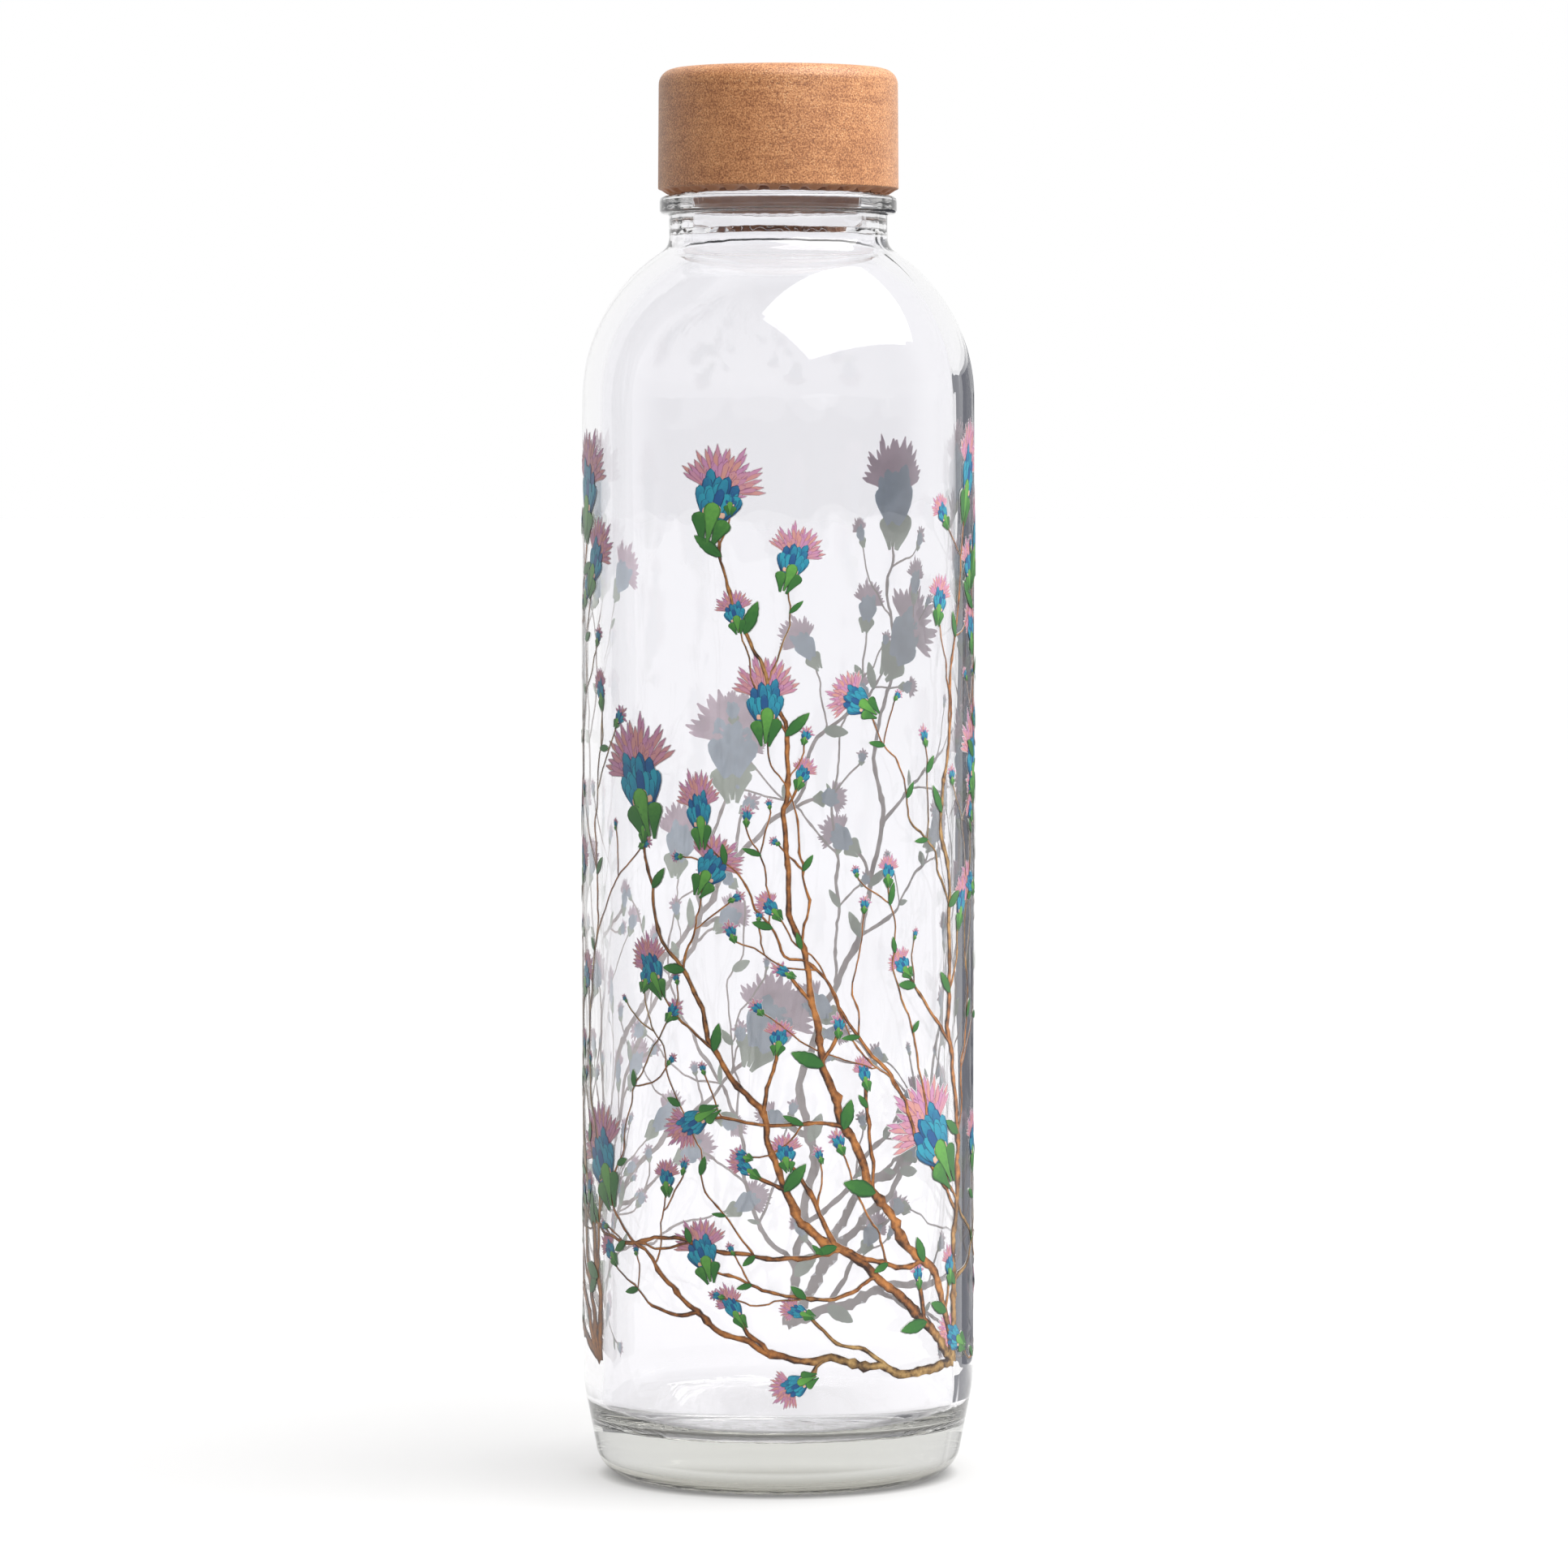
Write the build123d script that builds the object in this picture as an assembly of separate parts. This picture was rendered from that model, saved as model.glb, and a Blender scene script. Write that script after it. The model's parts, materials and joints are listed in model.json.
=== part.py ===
from build123d import *
import os
from math import acos, asin, degrees

# A clear glass water bottle with a screw cap. Millimetres, +Z up, origin at the centre of the base
# on the surface that the bottle stands on.

# Driving dimensions: the glass
body_radius = 35.4
body_wall = 3.3
heel_corner_z = 17.0
heel_blend = 30.0
heel_foot_radius = 32.1
heel_foot_round = 6.0
bearing_inner_radius = 25.0
push_up_height = 3.5
floor_edge_z = 10.0
floor_center_z = 11.0
floor_corner_radius = 5.5
floor_corner_margin = 0.1
shoulder_z = 195.0
shoulder_radius = 31.55
shoulder_blend = 3.0
neck_radius = 19.7
throat_radius = 16.8
throat_z = 224.3
throat_blend = 6.0
throat_step_radius = 16.1
throat_step_z = 225.4
throat_step_blend = 0.5
bead_radius = 21.4
bead_bottom_z = 228.2
bead_top_z = 231.3
bead_edge = 0.8
bead_foot_blend = 0.5
finish_radius = 17.5
mouth_radius = 15.1
mouth_z = 235.0
mouth_blend = 4.0
lip_z = 248.5
lip_edge = 0.9

# Driving dimensions: the screw thread
thread_pitch = 4.2
thread_turns = 1.5
thread_height = 1.2
thread_root_width = 2.3
thread_crest_width = 1.1
thread_start_z = 238.6
thread_clearance = 0.25
thread_seat_shift = 0.4
cap_thread_root_width = 1.7
cap_thread_crest_width = 0.8
cap_thread_turns = 1.75
thread_embed = 0.3

# Driving dimensions: the cap
cap_top_z = 254.2
cap_bottom_z = 232.6
cap_bottom_radius = 21.7
cap_top_radius = 21.55
cap_top_edge = 2.8
cap_top_thickness = 2.8
cap_rim_edge = 0.3
insert_radius = 20.05
insert_fit = 0.05
rim_bottom_z = 231.75
rim_flange_radius = 21.3
rim_tip_radius = 20.0
rim_notches = 33
rim_notch_width = 1.9
rim_notch_depth = 0.75
seal_thickness = 1.5
seal_outer_radius = 18.6
seal_inner_radius = 14.3
seal_edge = 0.2
retainer_radius = 18.4
retainer_height = 0.6
retainer_gap = 0.3

# Worked-out dimensions
cavity_radius = body_radius - body_wall
shoulder_center_r = body_radius - shoulder_radius
inner_shoulder_radius = cavity_radius - shoulder_center_r
bore_radius = finish_radius + thread_height + thread_clearance
cap_thread_radius = finish_radius + thread_clearance
seal_top_z = lip_z + seal_thickness
ceiling_z = cap_top_z - cap_top_thickness


def round_corners(sketch, corners):
    """Fillets the corners of a half section, given as ((r, z), radius) pairs."""
    for (r, z), radius in corners:
        corner = sketch.vertices().sort_by_distance(Vector(r, z))[0]
        sketch = fillet(corner, radius=radius)
    return sketch


def revolved(section, corners=()):
    """Solid of revolution about Z of a half section drawn as (r, z)."""
    return revolve(Plane.XZ * round_corners(section, corners), axis=Axis.Z)


def straight_run(*points):
    """Edges that join (r, z) points in order."""
    return [Line(a, b) for a, b in zip(points, points[1:])]


def dome_arc(edge_r, edge_z, axis_z):
    """Arc from a point on the axis, where it is level, down to (edge_r, edge_z)."""
    rise = axis_z - edge_z
    radius = (edge_r**2 + rise**2) / (2 * rise)
    half_angle = degrees(asin(edge_r / radius))
    return CenterArc((0, axis_z - radius), radius, 90 - half_angle, half_angle)


def shoulder_arc(radius, end_r):
    """Arc of the shoulder from the straight body in to the distance end_r."""
    angle = degrees(acos((end_r - shoulder_center_r) / radius))
    return CenterArc((shoulder_center_r, shoulder_z), radius, 0, angle)


def thread_ridge(root_radius, height, root_width, crest_width, start_z, turns):
    """Helical ridge of trapezoid section. Its height points inwards where it is negative."""
    embed = -thread_embed if height > 0 else thread_embed
    foot_width = root_width + (crest_width - root_width) * embed / height
    helix = Helix(pitch=thread_pitch, height=thread_pitch * turns, radius=root_radius, center=(0, 0, start_z))
    across = Plane(origin=helix @ 0, x_dir=(1, 0, 0), z_dir=helix % 0)
    section = across * Polygon(
        (embed, -foot_width / 2),
        (height, -crest_width / 2),
        (height, crest_width / 2),
        (embed, foot_width / 2),
        align=None,
    )
    return sweep(section, path=helix, is_frenet=True)


def glass_bottle():
    """Blown bottle with a thick base, a round shoulder, a transfer bead and a threaded finish."""
    outer_shoulder = shoulder_arc(shoulder_radius, neck_radius)
    inner_shoulder = shoulder_arc(inner_shoulder_radius, throat_radius)
    shoulder_top = tuple(outer_shoulder @ 1)[:2]
    inner_top = tuple(inner_shoulder @ 1)[:2]
    floor_radius = cavity_radius - floor_corner_radius
    outline = [
        dome_arc(bearing_inner_radius, 0, push_up_height),
        *straight_run(
            (bearing_inner_radius, 0),
            (heel_foot_radius, 0),
            (body_radius, heel_corner_z),
            (body_radius, shoulder_z),
        ),
        outer_shoulder,
        *straight_run(
            shoulder_top,
            (neck_radius, bead_bottom_z),
            (bead_radius, bead_bottom_z),
            (bead_radius, bead_top_z),
            (finish_radius, bead_top_z),
            (finish_radius, lip_z),
            (mouth_radius, lip_z),
            (mouth_radius, mouth_z),
            (throat_step_radius, throat_step_z),
            (throat_radius, throat_z),
            inner_top,
        ),
        inner_shoulder,
        *straight_run(
            (cavity_radius, shoulder_z),
            (cavity_radius, floor_edge_z),
            (floor_radius, floor_edge_z),
        ),
        dome_arc(floor_radius, floor_edge_z, floor_center_z),
        *straight_run((0, floor_center_z), (0, push_up_height)),
    ]
    corners = [
        ((heel_foot_radius, 0), heel_foot_round),
        ((body_radius, heel_corner_z), heel_blend),
        (shoulder_top, shoulder_blend),
        ((neck_radius, bead_bottom_z), bead_foot_blend),
        ((bead_radius, bead_bottom_z), bead_edge),
        ((bead_radius, bead_top_z), bead_edge),
        ((finish_radius, bead_top_z), bead_foot_blend),
        ((finish_radius, lip_z), lip_edge),
        ((mouth_radius, lip_z), lip_edge),
        ((mouth_radius, mouth_z), mouth_blend),
        ((throat_step_radius, throat_step_z), throat_step_blend),
        ((throat_radius, throat_z), throat_step_blend),
        (inner_top, throat_blend),
        ((cavity_radius, floor_edge_z), floor_corner_radius - floor_corner_margin),
    ]
    wall = revolved(make_face(Wire(outline)), corners)
    thread = thread_ridge(
        finish_radius, thread_height, thread_root_width, thread_crest_width, thread_start_z, thread_turns
    )
    return wall + thread


def cap_shell():
    """Plain cup of wood-fibre composite with a rounded top edge and a slight draft."""
    inner = insert_radius + insert_fit
    section = Polygon(
        (0, cap_top_z),
        (cap_top_radius, cap_top_z),
        (cap_bottom_radius, cap_bottom_z),
        (inner, cap_bottom_z),
        (inner, ceiling_z),
        (0, ceiling_z),
        align=None,
    )
    corners = [
        ((cap_top_radius, cap_top_z), cap_top_edge),
        ((cap_bottom_radius, cap_bottom_z), cap_rim_edge),
    ]
    return revolved(section, corners)


def cap_thread_insert():
    """Liner cup with the inner thread, a ledge that keeps the seal in, and a castellated lower rim."""
    retainer_top = lip_z - retainer_gap
    retainer_bottom = retainer_top - retainer_height
    section = Polygon(
        (0, ceiling_z),
        (insert_radius, ceiling_z),
        (insert_radius, cap_bottom_z),
        (rim_flange_radius, cap_bottom_z),
        (rim_tip_radius, rim_bottom_z),
        (bore_radius, rim_bottom_z),
        (bore_radius, retainer_bottom - retainer_height),
        (retainer_radius, retainer_bottom),
        (retainer_radius, retainer_top),
        (bore_radius, retainer_top),
        (bore_radius, seal_top_z),
        (0, seal_top_z),
        align=None,
    )
    thread = thread_ridge(
        bore_radius,
        cap_thread_radius - bore_radius,
        cap_thread_root_width,
        cap_thread_crest_width,
        thread_start_z - thread_pitch / 2 + thread_seat_shift,
        cap_thread_turns,
    )
    notch_center_r = (bore_radius + rim_flange_radius) / 2
    notch = Box(rim_flange_radius - bore_radius + 1, rim_notch_width, 2 * rim_notch_depth)
    notches = Pos(0, 0, rim_bottom_z) * PolarLocations(notch_center_r, rim_notches) * notch
    return revolved(section) + thread - notches


def seal_ring():
    """Flat silicone ring between the glass lip and the top of the insert."""
    section = Polygon(
        (seal_inner_radius, lip_z),
        (seal_outer_radius, lip_z),
        (seal_outer_radius, seal_top_z),
        (seal_inner_radius, seal_top_z),
        align=None,
    )
    corners = [((r, z), seal_edge) for r in (seal_inner_radius, seal_outer_radius) for z in (lip_z, seal_top_z)]
    return revolved(section, corners)


os.makedirs("parts", exist_ok=True)
for make_piece in (glass_bottle, cap_shell, cap_thread_insert, seal_ring):
    piece = make_piece()
    export_step(piece, f"parts/{make_piece.__name__}.step")
    print(make_piece.__name__, f"{piece.volume / 1000:.1f} cm3")
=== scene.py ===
"""A clear glass water bottle with a printed plant pattern and a screw cap of wood-fibre composite.

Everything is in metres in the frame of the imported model: +Z runs up the bottle's axis from the surface
that the bottle stands on, and the bottle is seen from -Y.
"""

import json
import logging
import math
import random
from collections.abc import Callable, Sequence
from dataclasses import dataclass, field
from enum import Enum

import bmesh
import bpy
import numpy as np
from mathutils import Matrix, Vector, noise


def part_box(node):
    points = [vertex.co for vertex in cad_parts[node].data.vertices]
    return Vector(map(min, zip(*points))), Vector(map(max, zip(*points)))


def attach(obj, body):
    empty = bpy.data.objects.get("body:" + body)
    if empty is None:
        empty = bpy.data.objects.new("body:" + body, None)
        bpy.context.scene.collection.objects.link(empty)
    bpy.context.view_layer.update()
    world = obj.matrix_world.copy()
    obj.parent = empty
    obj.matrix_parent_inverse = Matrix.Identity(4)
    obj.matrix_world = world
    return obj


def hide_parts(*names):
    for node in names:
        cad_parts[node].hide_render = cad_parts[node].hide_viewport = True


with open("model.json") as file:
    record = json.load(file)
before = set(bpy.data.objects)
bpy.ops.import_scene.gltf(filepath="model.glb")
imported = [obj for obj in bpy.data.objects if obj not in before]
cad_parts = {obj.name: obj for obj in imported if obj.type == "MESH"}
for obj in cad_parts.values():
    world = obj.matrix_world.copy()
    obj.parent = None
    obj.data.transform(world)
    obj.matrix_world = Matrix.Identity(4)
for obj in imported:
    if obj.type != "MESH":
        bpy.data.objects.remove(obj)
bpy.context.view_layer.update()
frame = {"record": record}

MM = 0.001
SAME_PLACE = 1e-7
FULL_TURN = 2 * math.pi
Point = tuple[float, float]
Colour = tuple[float, float, float]

logging.basicConfig(level=logging.INFO, format="%(message)s")
log = logging.getLogger("bottle")


# ---------------------------------------------------------------------------------------- shader maths


def operator(operation: str, reflected: bool = False) -> Callable[..., "Signal"]:
    """Makes the method of one Python operator.

    Args:
        operation: The Math node's operation.
        reflected: True if self comes after the other value.

    Returns:
        A method that adds the Math node and gives its result.
    """

    def method(self: "Signal", *other: "Signal | float") -> "Signal":
        """Adds the Math node."""
        values = (*other, self) if reflected else (self, *other)
        return self.graph.node("ShaderNodeMath", {"operation": operation}, dict(enumerate(values)))

    return method


class Signal:
    """A node socket that takes part in Python expressions."""

    def __init__(self, graph: "Graph", socket: bpy.types.NodeSocket) -> None:
        """Wraps a socket.

        Args:
            graph: The graph that the socket belongs to.
            socket: An output socket of one of its nodes.
        """
        self.graph = graph
        self.socket = socket

    __add__ = __radd__ = operator("ADD")
    __sub__ = operator("SUBTRACT")
    __rsub__ = operator("SUBTRACT", reflected=True)
    __mul__ = __rmul__ = operator("MULTIPLY")
    __pow__ = operator("POWER")
    __gt__ = operator("GREATER_THAN")
    __lt__ = operator("LESS_THAN")
    __abs__ = operator("ABSOLUTE")
    sine = operator("SINE")

    def step(self, low: float, high: float) -> "Signal":
        """A smooth step from 0 at low to 1 at high.

        Args:
            low: Value that gives 0.
            high: Value that gives 1.

        Returns:
            The stepped signal, held between 0 and 1.
        """
        return self.graph.node(
            "ShaderNodeMapRange",
            {"interpolation_type": "SMOOTHSTEP"},
            {"Value": self, "From Min": low, "From Max": high},
        )


class Graph:
    """The node tree of one material or world, built by expressions."""

    def __init__(self, owner: bpy.types.Material | bpy.types.World) -> None:
        """Empties the owner's node tree.

        Args:
            owner: The material or world to build.
        """
        owner.use_nodes = True
        self.tree = owner.node_tree
        self.tree.nodes.clear()

    def node(
        self, kind: str, settings: dict | None = None, values: dict | None = None, output: int | str = 0
    ) -> Signal:
        """Adds one node.

        Args:
            kind: The node's type.
            settings: Properties that are set first. "stops" are a ramp's (position, colour) pairs.
            values: Socket name or index to a number, colour, vector or Signal.
            output: The output socket that is given back.

        Returns:
            The wanted output as a Signal.
        """
        made = self.tree.nodes.new(kind)
        for key, value in (settings or {}).items():
            if key == "stops":
                self._set_stops(made.color_ramp, value)
            else:
                setattr(made, key, value)
        for key, value in (values or {}).items():
            if isinstance(value, Signal):
                self.tree.links.new(value.socket, made.inputs[key])
            else:
                made.inputs[key].default_value = value
        return Signal(self, made.outputs[output]) if made.outputs else Signal(self, None)

    @staticmethod
    def _set_stops(ramp: bpy.types.ColorRamp, stops: Sequence[tuple[float, Colour]]) -> None:
        """Gives a colour ramp its stops."""
        while len(ramp.elements) < len(stops):
            ramp.elements.new(0.5)
        for element, (position, colour) in zip(ramp.elements, stops):
            element.position = position
            element.color = (*colour, 1.0)

    def coordinates(self) -> Signal:
        """The piece's own coordinates in metres."""
        return self.node("ShaderNodeTexCoord", output="Object")

    def split(self, vector: Signal) -> tuple[Signal, Signal, Signal]:
        """The three components of a vector."""
        parts = self.node("ShaderNodeSeparateXYZ", values={0: vector})
        outputs = parts.socket.node.outputs
        return tuple(Signal(self, outputs[i]) for i in range(3))

    def scaled(self, vector: Signal, factors: tuple[float, float, float]) -> Signal:
        """The vector with each component multiplied, as by a Mapping node."""
        return self.node("ShaderNodeMapping", values={"Vector": vector, "Scale": factors})

    def noise(self, vector: Signal, scale: float, detail: float = 2.0, rough: float = 0.5) -> Signal:
        """Cloudy noise about 0.5.

        Args:
            vector: Where it is read.
            scale: Features for each metre.
            detail: Octaves.
            rough: How much the finer octaves count.

        Returns:
            The noise as a Signal.
        """
        values = {"Vector": vector, "Scale": scale, "Detail": detail, "Roughness": rough}
        return self.node("ShaderNodeTexNoise", values=values)

    def cells(self, vector: Signal, scale: float) -> Signal:
        """Voronoi cells: the distance to the middle of the nearest cell."""
        return self.node("ShaderNodeTexVoronoi", values={"Vector": vector, "Scale": scale})

    def ramp(self, value: Signal, stops: Sequence[tuple[float, Colour]]) -> Signal:
        """A colour ramp over value."""
        return self.node("ShaderNodeValToRGB", {"stops": stops}, {0: value})

    def mix(self, factor: Signal | float, a: Signal | Colour, b: Signal | Colour) -> Signal:
        """Mixes two colours: a where the factor is 0 and b where it is 1."""
        a, b = (c if isinstance(c, Signal) else (*c, 1.0) for c in (a, b))
        return self.node("ShaderNodeMix", {"data_type": "RGBA"}, {0: factor, 6: a, 7: b}, 2)

    def bump(self, height: Signal, distance: float) -> Signal:
        """A normal bumped by height, where 1 stands distance metres high."""
        return self.node("ShaderNodeBump", values={"Height": height, "Distance": distance, "Strength": 1.0})

    def principled(self, values: dict) -> Signal:
        """The Principled shader with some of its sockets set."""
        return self.node("ShaderNodeBsdfPrincipled", values=values)

    def surface(self, shader: Signal) -> None:
        """Connects the surface shader."""
        self.node("ShaderNodeOutputMaterial", values={"Surface": shader})


# -------------------------------------------------------------------------------------------- finishes


@dataclass(frozen=True)
class Finish:
    """The finish of a surface, which makes one procedural material."""

    name: str

    def material(self) -> bpy.types.Material:
        """Makes the material.

        Returns:
            A new material with this finish.
        """
        made = bpy.data.materials.new(self.name)
        self.shade(Graph(made))
        return made

    def shade(self, graph: Graph) -> None:
        """Builds the nodes. Each finish has its own."""
        raise NotImplementedError


@dataclass(frozen=True)
class ClearGlass(Finish):
    """Clear soda-lime glass with a slightly wavy skin and a rippled floor, with painted shade along the
    floor's ripple lines and painted shade round the bottom of the foot.
    """

    refraction: float = 1.52
    tint: Colour = (0.973, 0.969, 0.992)
    # Painted shade: grey mixed into the glass's colour along the inner floor's ripple lines, standing in for
    # the dark lines the ripples refract.
    ripple_line_painted_shade: Colour = (0.74, 0.75, 0.74)
    ripple_line_shade_width: float = 0.07
    # Painted shade: dark grey mixed into the glass's colour round the bottom of the foot, standing in for the
    # shadowed floor seen through the heel.
    foot_painted_shade: Colour = (0.40, 0.39, 0.36)
    foot_shade_band: Point = (2.5 * MM, 5.0 * MM)
    foot_shade_edge: float = 27.0 * MM
    shadow_tint: Colour = (0.965, 0.965, 0.97)
    body_colour: Colour = (0.70, 0.705, 0.63)
    body_density: float = 16.0
    wave_scale: float = 70.0
    wave_height: float = 0.02 * MM
    floor_band: Point = (8.6 * MM, 9.2 * MM)
    floor_end: Point = (12.0 * MM, 14.0 * MM)
    floor_edge: float = 27.4 * MM
    ripple_scale: float = 210.0
    ripple_height: float = 0.12 * MM

    def shade(self, graph: Graph) -> None:
        """Refracting glass that lets lamps through and darkens with its thickness."""
        place = graph.coordinates()
        x, y, z = graph.split(place)
        from_axis = (x * x + y * y) ** 0.5
        at_floor = z.step(*self.floor_band) - z.step(*self.floor_end)
        inner_floor = at_floor * (from_axis < self.floor_edge)
        swirl = graph.noise(place, self.ripple_scale, 3.0, 0.6)
        ripples = swirl * inner_floor * self.ripple_height
        # Painted shade along the ripple lines of the inner floor.
        ripple_line_shade = (1.0 - abs(swirl - 0.5).step(0.0, self.ripple_line_shade_width)) * inner_floor
        # Painted shade round the bottom of the foot.
        foot = (1.0 - z.step(*self.foot_shade_band)) * (from_axis > self.foot_shade_edge)
        waves = graph.noise(place, self.wave_scale, 1.0) * self.wave_height
        glass = graph.principled(
            {
                "Base Color": graph.mix(foot, graph.mix(ripple_line_shade, self.tint, self.ripple_line_painted_shade), self.foot_painted_shade),
                "Roughness": 0.0,
                "IOR": self.refraction,
                "Transmission Weight": 1.0,
                "Normal": graph.bump(waves + ripples, 1.0),
            }
        )
        clear = graph.node("ShaderNodeBsdfTransparent", values={"Color": (*self.shadow_tint, 1.0)})
        lamp_ray = graph.node("ShaderNodeLightPath", output="Is Shadow Ray")
        shader = graph.node("ShaderNodeMixShader", values={0: lamp_ray, 1: glass, 2: clear})
        depth = graph.node(
            "ShaderNodeVolumeAbsorption",
            values={"Color": (*self.body_colour, 1.0), "Density": self.body_density},
        )
        graph.node("ShaderNodeOutputMaterial", values={"Surface": shader, "Volume": depth})


@dataclass(frozen=True)
class WoodComposite(Finish):
    """Moulded wood-fibre composite: fine brown grains with pale specks, brightened as painted glints, and
    faint streaks along the rim.
    """

    dark: Colour = (0.22, 0.072, 0.020)
    middle: Colour = (0.43, 0.172, 0.060)
    pale: Colour = (0.63, 0.298, 0.122)
    speck_and_glint: Colour = (0.95, 0.66, 0.36)
    grain_scale: float = 3500.0
    mottle_scale: float = 240.0
    streak_scale: tuple[float, float, float] = (90.0, 90.0, 1300.0)
    grain_height: float = 0.05 * MM

    def shade(self, graph: Graph) -> None:
        """Granular colour with painted glints on the pale specks, bump and roughness."""
        place = graph.coordinates()
        grain = graph.noise(place, self.grain_scale, 2.0, 0.6)
        mottle = graph.noise(place, self.mottle_scale, 3.0, 0.6)
        streak = graph.noise(graph.scaled(place, self.streak_scale), 1.0, 2.0)
        cells = graph.cells(place, self.grain_scale * 0.7)
        tone = grain * 0.72 + mottle * 0.14 + streak * 0.14
        body = graph.ramp(tone, [(0.39, self.dark), (0.5, self.middle), (0.61, self.pale)])
        # Pale specks in the cells, made bright as painted glints.
        glint = (1.0 - cells.step(0.05, 0.3)) * mottle.step(0.4, 0.65)
        colour = graph.mix(glint * 0.8, body, self.speck_and_glint)
        shader = graph.principled(
            {
                "Base Color": colour,
                "Roughness": 0.62 - grain * 0.25,
                "Specular IOR Level": 0.7,
                "Sheen Weight": 0.15,
                "Sheen Roughness": 0.5,
                "Sheen Tint": (1.0, 0.86, 0.74, 1.0),
                "Normal": graph.bump(grain + cells * 0.6, self.grain_height),
            }
        )
        graph.surface(shader)


@dataclass(frozen=True)
class MouldedPlastic(Finish):
    """Matt moulded plastic with a fine texture and slightly uneven colour."""

    base: Colour
    deep: Colour
    roughness: float = 0.5
    texture_scale: float = 1500.0
    texture_height: float = 0.015 * MM
    scatter: float = 0.0

    def shade(self, graph: Graph) -> None:
        """Two close tones, a fine bump and uneven gloss."""
        place = graph.coordinates()
        broad = graph.noise(place, self.texture_scale / 12, 2.0)
        fine = graph.noise(place, self.texture_scale, 2.0)
        shader = graph.principled(
            {
                "Base Color": graph.mix(broad.step(0.3, 0.7), self.base, self.deep),
                "Roughness": fine * 0.15 + (self.roughness - 0.07),
                "Subsurface Weight": self.scatter,
                "Subsurface Scale": 1.5 * MM,
                "Normal": graph.bump(fine, self.texture_height),
            }
        )
        graph.surface(shader)


class InkPattern(Enum):
    """What an ink's brushwork follows."""

    BARK = "bark"
    BLADE = "blade"


@dataclass(frozen=True)
class FiredInk(Finish):
    """Glossy fired ink. Its brushwork runs from base to tip of each printed shape."""

    base: Colour
    tip: Colour
    line: Colour
    pattern: InkPattern = InkPattern.BLADE
    line_count: float = 5.0
    grain_scale: float = 900.0
    roughness: float = 0.38

    def shade(self, graph: Graph) -> None:
        """Colour from the shape's own map or from the grain of its bark."""
        grain = graph.noise(graph.coordinates(), self.grain_scale, 3.0, 0.65)
        colour = self.bark(graph, grain) if self.pattern is InkPattern.BARK else self.blade(graph, grain)
        shader = graph.principled(
            {
                "Base Color": colour,
                "Roughness": grain * 0.2 + (self.roughness - 0.1),
                "Normal": graph.bump(grain, 0.01 * MM),
            }
        )
        graph.surface(shader)

    def bark(self, graph: Graph, grain: Signal) -> Signal:
        """Bark that is dark at its edges and warm along the middle, and turns ochre in places."""
        crown = graph.node("ShaderNodeAttribute", {"attribute_name": "crown"}, output="Fac")
        patch = graph.noise(graph.coordinates(), self.grain_scale / 4, 2.0)
        light = crown * 0.5 + grain * 1.1 - 0.44 + (patch - 0.5) * 1.1
        warm = graph.ramp(light, [(0.1, self.line), (0.42, self.base), (0.8, self.tip)])
        shade = graph.noise(graph.coordinates(), self.grain_scale / 40, 1.0).step(0.47, 0.62)
        ochre = graph.ramp(light, [(0.15, self.line), (0.45, (0.24, 0.14, 0.05)), (0.8, (0.48, 0.31, 0.12))])
        return graph.mix(shade, warm, ochre)

    def blade(self, graph: Graph, grain: Signal) -> Signal:
        """A leaf or petal: from base to tip colour, with fine dark lines along it and round its edge."""
        place = graph.node("ShaderNodeUVMap", {"uv_map": "UVMap"})
        across, along, _ = graph.split(place)
        tone = graph.node("ShaderNodeAttribute", {"attribute_name": "tone"}, output="Fac")
        blend = tone * 0.75 + along * 0.35 + (grain - 0.5) * 0.5
        body = graph.mix(blend.step(0.15, 0.9), self.base, self.tip)
        lines = (across * (self.line_count * math.pi)).sine() ** 2.0
        edge = (abs(across - 0.5) * 2.0).step(0.5, 1.0) + along.step(0.86, 1.0) * 0.6
        foot = 1.0 - along.step(0.0, 0.45)
        mark = edge * 0.5 + (1.0 - lines) * 0.22 + foot * 0.25 + (grain - 0.5) * 0.9
        return graph.mix(mark.step(0.2, 0.95), body, self.line)


@dataclass(frozen=True)
class InkUndercoat(Finish):
    """The pale layer under the ink. Light comes through it, so its glass side shows the ink faintly."""

    colour: Colour
    patch_scale: float = 260.0
    glow: float = 0.35

    def shade(self, graph: Graph) -> None:
        """An uneven matt layer that lets some light through."""
        patch = graph.noise(graph.coordinates(), self.patch_scale, 3.0, 0.6)
        deep = tuple(c * 0.86 for c in self.colour)
        colour = graph.mix(patch.step(0.3, 0.7), self.colour, deep)
        solid = graph.principled({"Base Color": colour, "Roughness": 0.6})
        through = graph.node("ShaderNodeBsdfTranslucent", values={"Color": colour})
        graph.surface(graph.node("ShaderNodeMixShader", values={0: self.glow, 1: solid, 2: through}))


# --------------------------------------------------------------------------------------- modelling aids


def deselect_all() -> None:
    """Leaves nothing selected, so that the next operator acts on what it makes."""
    if bpy.context.object and bpy.context.object.mode != "OBJECT":
        bpy.ops.object.mode_set(mode="OBJECT")
    bpy.ops.object.select_all(action="DESELECT")


def pick(objects: Sequence[bpy.types.Object]) -> None:
    """Selects only these objects, with the first one active."""
    deselect_all()
    for item in objects:
        item.select_set(True)
    bpy.context.view_layer.objects.active = objects[0]


def join(objects: Sequence[bpy.types.Object], name: str) -> bpy.types.Object:
    """Joins objects into one piece at the origin.

    Args:
        objects: The objects, each with its own mesh.
        name: Name of the piece.

    Returns:
        The joined piece, with its place in its mesh.
    """
    pick(objects)
    if len(objects) > 1:
        bpy.ops.object.join()
    bpy.ops.object.transform_apply(location=True, rotation=True, scale=True)
    piece = bpy.context.object
    piece.name = name
    piece.data.name = name
    return piece


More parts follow.
